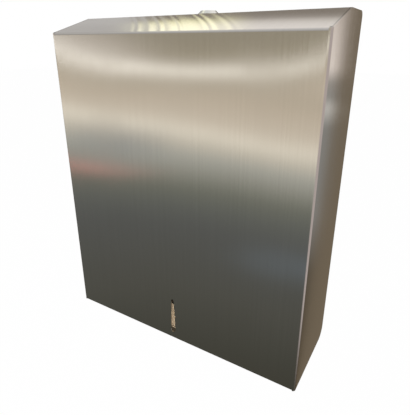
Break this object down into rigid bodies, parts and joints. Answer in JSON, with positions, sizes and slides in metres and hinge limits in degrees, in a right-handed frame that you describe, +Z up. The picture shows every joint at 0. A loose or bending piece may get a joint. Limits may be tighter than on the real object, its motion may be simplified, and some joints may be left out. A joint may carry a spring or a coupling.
{
  "type": "folded towel dispenser",
  "caption": "Wall dispenser for folded paper towels: flat brushed steel cover with a sloped top, a keyed lock and a drop-shaped sight slot; the cover tips forward to refill.",
  "frame": {"origin": "on the wall face, in the middle of the four wall screw holes", "axes": "+X to the right seen from the front, +Y into the wall, +Z up"},
  "size_m": [0.3, 0.1, 0.3635],
  "materials": {
    "brushed_sheet": "stainless sheet with an upright brushed grain",
    "cabinet_sheet": "dull mill finish stainless sheet",
    "lock_chrome": "bright plated lock parts",
    "lock_core": "plated brass plug",
    "zinc_steel": "zinc plated small parts",
    "nylon": "natural nylon",
    "rivet_aluminium": "blind rivets",
    "kraft_paper": "unbleached creped towel paper"
  },
  "bodies": {
    "cabinet": {"back_plate": "cabinet_sheet", "cheek_left": "cabinet_sheet", "cheek_right": "cabinet_sheet", "hinge_bush_left": "nylon", "hinge_bush_right": "nylon", "towel_tray": "cabinet_sheet", "towel_guide_left": "cabinet_sheet", "towel_guide_right": "cabinet_sheet", "strike_bracket": "zinc_steel", "tray_rivets_left": "rivet_aluminium", "tray_rivets_right": "rivet_aluminium", "tray_back_rivets": "rivet_aluminium", "strike_rivets": "rivet_aluminium", "towel_stack": "kraft_paper"},
    "cover": {"cover_shell": "brushed_sheet", "seam_angle_left": "cabinet_sheet", "seam_angle_right": "cabinet_sheet", "hinge_stud_left": "zinc_steel", "hinge_stud_right": "zinc_steel", "retaining_clip_left": "zinc_steel", "retaining_clip_right": "zinc_steel", "stop_stud_left": "zinc_steel", "stop_stud_right": "zinc_steel", "lock_barrel": "lock_chrome", "lock_nut": "lock_chrome", "lock_washer": "zinc_steel"},
    "lock_core": {"lock_plug": "lock_core", "lock_cam": "zinc_steel", "cam_screw": "zinc_steel"}
  },
  "joints": [
    {"name": "cover_tilt", "type": "hinge", "parent": "cabinet", "child": "cover", "pos_m": [0, -0.014, -0.179], "axis": [1, 0, 0], "range_deg": [0, 75]},
    {"name": "lock_turn", "type": "hinge", "parent": "cover", "child": "lock_core", "pos_m": [0, -0.02, 0.167], "axis": [0, 0, 1], "range_deg": [0, 90]}
  ]
}
